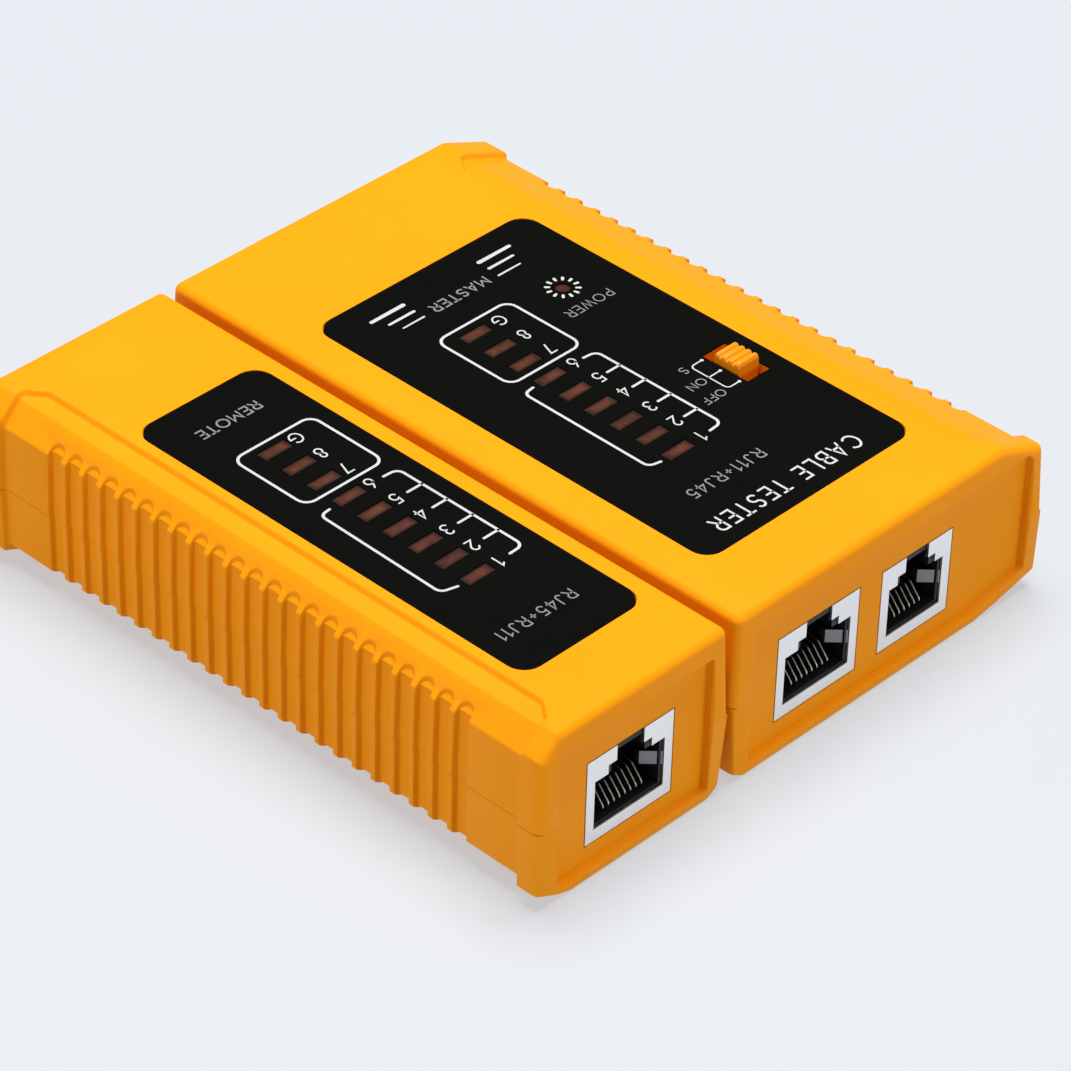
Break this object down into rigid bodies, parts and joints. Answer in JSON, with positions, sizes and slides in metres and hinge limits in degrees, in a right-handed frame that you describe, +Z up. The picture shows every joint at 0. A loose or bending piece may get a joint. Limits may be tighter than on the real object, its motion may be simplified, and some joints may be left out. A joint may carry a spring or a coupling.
{
  "type": "network cable tester",
  "caption": "Handheld network cable tester: a master unit with modular sockets, indicator lamps and a slide switch, and a remote unit that slides off its side.",
  "frame": {"origin": "bottom centre of the docked pair's bounding box", "axes": "+Z up out of the label faces, +Y along the units away from the socket end, +X from the remote unit to the master unit"},
  "size_m": [0.0984, 0.1068, 0.0287],
  "materials": {
    "case_plastic": "fine moulded texture, satin",
    "label_film": "smooth printed film",
    "lamp_window": "diffuse window",
    "power_lamp": "clear red dome",
    "black_plastic": "moulded",
    "knob_plastic": "moulded, ridged",
    "tinned_steel": "tinned",
    "shield_steel": "bright stamped sheet",
    "contact_gold": "gold flashed wire",
    "board": "green solder resist",
    "resistor_body": "painted",
    "diode_glass": "amber glass",
    "capacitor_sleeve": "shrink sleeve",
    "battery_jacket": "printed metal jacket",
    "lead_red": "insulation",
    "lead_black": "insulation",
    "foam": "soft foam",
    "screw_steel": "zinc plated"
  },
  "bodies": {
    "master": {"master_top_shell": "case_plastic", "master_bottom_shell": "case_plastic", "master_label": "label_film", "master_leds": "lamp_window", "master_led_pins": "tinned_steel", "master_led_holder": "black_plastic", "power_led": "power_lamp", "switch_frame": "tinned_steel", "switch_terminals": "tinned_steel", "master_pcb": "board", "master_counter_chip": "black_plastic", "master_timer_chip": "black_plastic", "master_chip_legs": "tinned_steel", "master_resistors": "resistor_body", "master_capacitor": "capacitor_sleeve", "rj45_shield_master": "shield_steel", "rj45_insert_master": "black_plastic", "rj45_contacts_master": "contact_gold", "rj11_shield": "shield_steel", "rj11_insert": "black_plastic", "rj11_contacts": "contact_gold", "battery": "battery_jacket", "battery_terminals": "tinned_steel", "battery_snap": "black_plastic", "battery_lead_red": "lead_red", "battery_lead_black": "lead_black", "battery_foam": "foam", "master_screws": "screw_steel", "pcb_screws_master": "screw_steel"},
    "remote": {"remote_top_shell": "case_plastic", "remote_bottom_shell": "case_plastic", "remote_label": "label_film", "remote_leds": "lamp_window", "remote_led_pins": "tinned_steel", "remote_led_holder": "black_plastic", "remote_pcb": "board", "remote_diodes": "diode_glass", "remote_resistors": "resistor_body", "rj45_shield_remote": "shield_steel", "rj45_insert_remote": "black_plastic", "rj45_contacts_remote": "contact_gold", "remote_screws": "screw_steel", "pcb_screws_remote": "screw_steel"},
    "switch": {"switch_knob": "knob_plastic", "switch_slider": "black_plastic"},
    "battery_door": {"battery_door": "case_plastic"}
  },
  "joints": [
    {"name": "switch_slide", "type": "slide", "parent": "master", "child": "switch", "axis": [0, 1, 0], "range_m": [-0.0017, 0.0017]},
    {"name": "battery_door_slide", "type": "slide", "parent": "master", "child": "battery_door", "axis": [0, 1, 0], "range_m": [0, 0.056]},
    {"name": "remote_slide", "type": "slide", "parent": "master", "child": "remote", "axis": [0, 1, 0], "range_m": [0, 0.095]}
  ]
}
